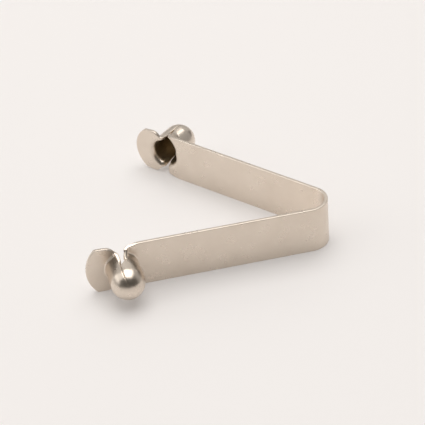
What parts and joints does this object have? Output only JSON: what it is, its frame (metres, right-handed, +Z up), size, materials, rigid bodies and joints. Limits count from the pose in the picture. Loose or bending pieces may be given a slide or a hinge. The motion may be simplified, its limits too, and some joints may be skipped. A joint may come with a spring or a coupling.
{
  "type": "spring button clip",
  "caption": "V-shaped flat spring clip with an outward, hollow, bullet-nosed snap button near each free end, for locking one tube inside another.",
  "frame": {"origin": "bottom centre of the clip's box, on the surface that its strip edges stand on", "axes": "+Z up across the strip's width; +X along the V's axis of symmetry, towards the bow; the near button points to -Y and the far button to +Y"},
  "size_m": [0.0422, 0.0528, 0.0095],
  "materials": {
    "spring_steel": "satin"
  },
  "bodies": {
    "bow": {"bow": "spring_steel"},
    "near_arm": {"near_leg": "spring_steel", "near_button_leg_half": "spring_steel", "near_button_tab_half": "spring_steel", "near_tab": "spring_steel"},
    "far_arm": {"far_leg": "spring_steel", "far_button_leg_half": "spring_steel", "far_button_tab_half": "spring_steel", "far_tab": "spring_steel"}
  },
  "joints": [
    {"name": "near_press", "type": "hinge", "parent": "bow", "child": "near_arm", "pos_m": [0.01306, -0.00593, 0.00475], "axis": [0, 0, -1], "range_deg": [0, 32.5], "stiffness_Nm_per_rad": 2.15, "deforming": ["bow"]},
    {"name": "far_press", "type": "hinge", "parent": "bow", "child": "far_arm", "pos_m": [0.01306, 0.00593, 0.00475], "axis": [0, 0, 1], "range_deg": [0, 32.5], "stiffness_Nm_per_rad": 2.15, "deforming": ["bow"]}
  ]
}
